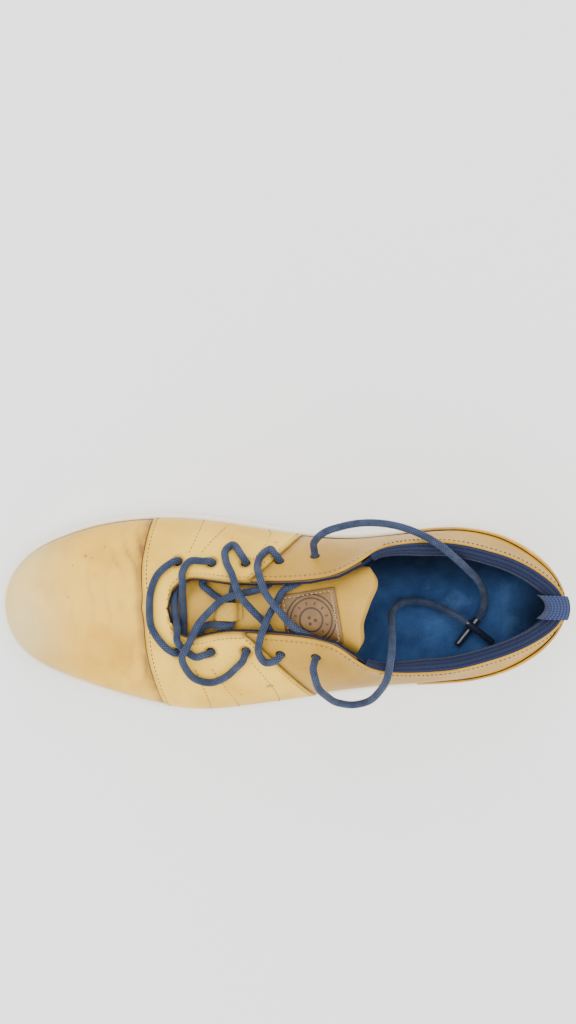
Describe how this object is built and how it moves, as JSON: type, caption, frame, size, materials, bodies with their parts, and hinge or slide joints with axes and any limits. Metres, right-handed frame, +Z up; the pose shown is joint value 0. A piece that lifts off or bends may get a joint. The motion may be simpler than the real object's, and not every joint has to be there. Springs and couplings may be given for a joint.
{
  "type": "bowling shoe",
  "caption": "Left bowling shoe: leather low top with cup sole, slide pad, padded knit collar, hinged tongue and an undone round lace whose ends lie over the collar.",
  "frame": {"origin": "on the floor under the middle of the sole's outline", "axes": "+X towards the toe, +Y towards the outer (lateral) side of the foot, +Z up"},
  "size_m": [0.3, 0.1074, 0.0813],
  "materials": {
    "light_leather": "smooth grain, matt",
    "dark_leather": "smooth, matt",
    "label": "smooth, matt",
    "sole": "smooth, satin",
    "slide": "brushed microfibre",
    "rubber": "matt",
    "foam": "open foam",
    "steel": "plain",
    "board": "pressed fibre, matt",
    "footbed": "brushed textile",
    "lining": "fine mesh",
    "knit": "ribbed knit",
    "tab": "woven",
    "keeper": "woven tape",
    "lace": "braided",
    "aglet": "glossy"
  },
  "bodies": {
    "shoe": {"aglet_lateral": "aglet", "aglet_medial": "aglet", "collar_lining": "knit", "collar_padding": "foam", "cup_sole": "sole", "eyestay_lateral": "board", "eyestay_medial": "board", "footbed": "footbed", "front_quarters": "light_leather", "heel_counter": "board", "heel_cover": "light_leather", "heel_pad": "rubber", "heel_tab": "tab", "lace_end_lateral": "lace", "lace_end_medial": "lace", "lace_keeper": "keeper", "lace_laced": "lace", "lasting_board": "board", "midsole": "foam", "quarter_lining_lateral": "lining", "quarter_lining_medial": "lining", "rear_quarter_lateral": "dark_leather", "rear_quarter_medial": "dark_leather", "shank": "steel", "slide_pad": "slide", "toe_puff": "board", "tongue_foam_root": "foam", "tongue_leather_root": "light_leather", "tongue_lining_root": "knit", "vamp": "light_leather", "vamp_lining": "lining"},
    "tongue_flap": {"tongue_leather_flap": "light_leather", "tongue_foam_flap": "foam", "tongue_lining_flap": "knit", "tongue_label": "label"}
  },
  "joints": [
    {"name": "tongue_fold", "type": "hinge", "parent": "shoe", "child": "tongue_flap", "pos_m": [0.013, -0.0048, 0.05367], "axis": [0, 1, 0], "range_deg": [-12, 0], "stiffness_Nm_per_rad": 0.05, "springref_deg": 8.59}
  ]
}
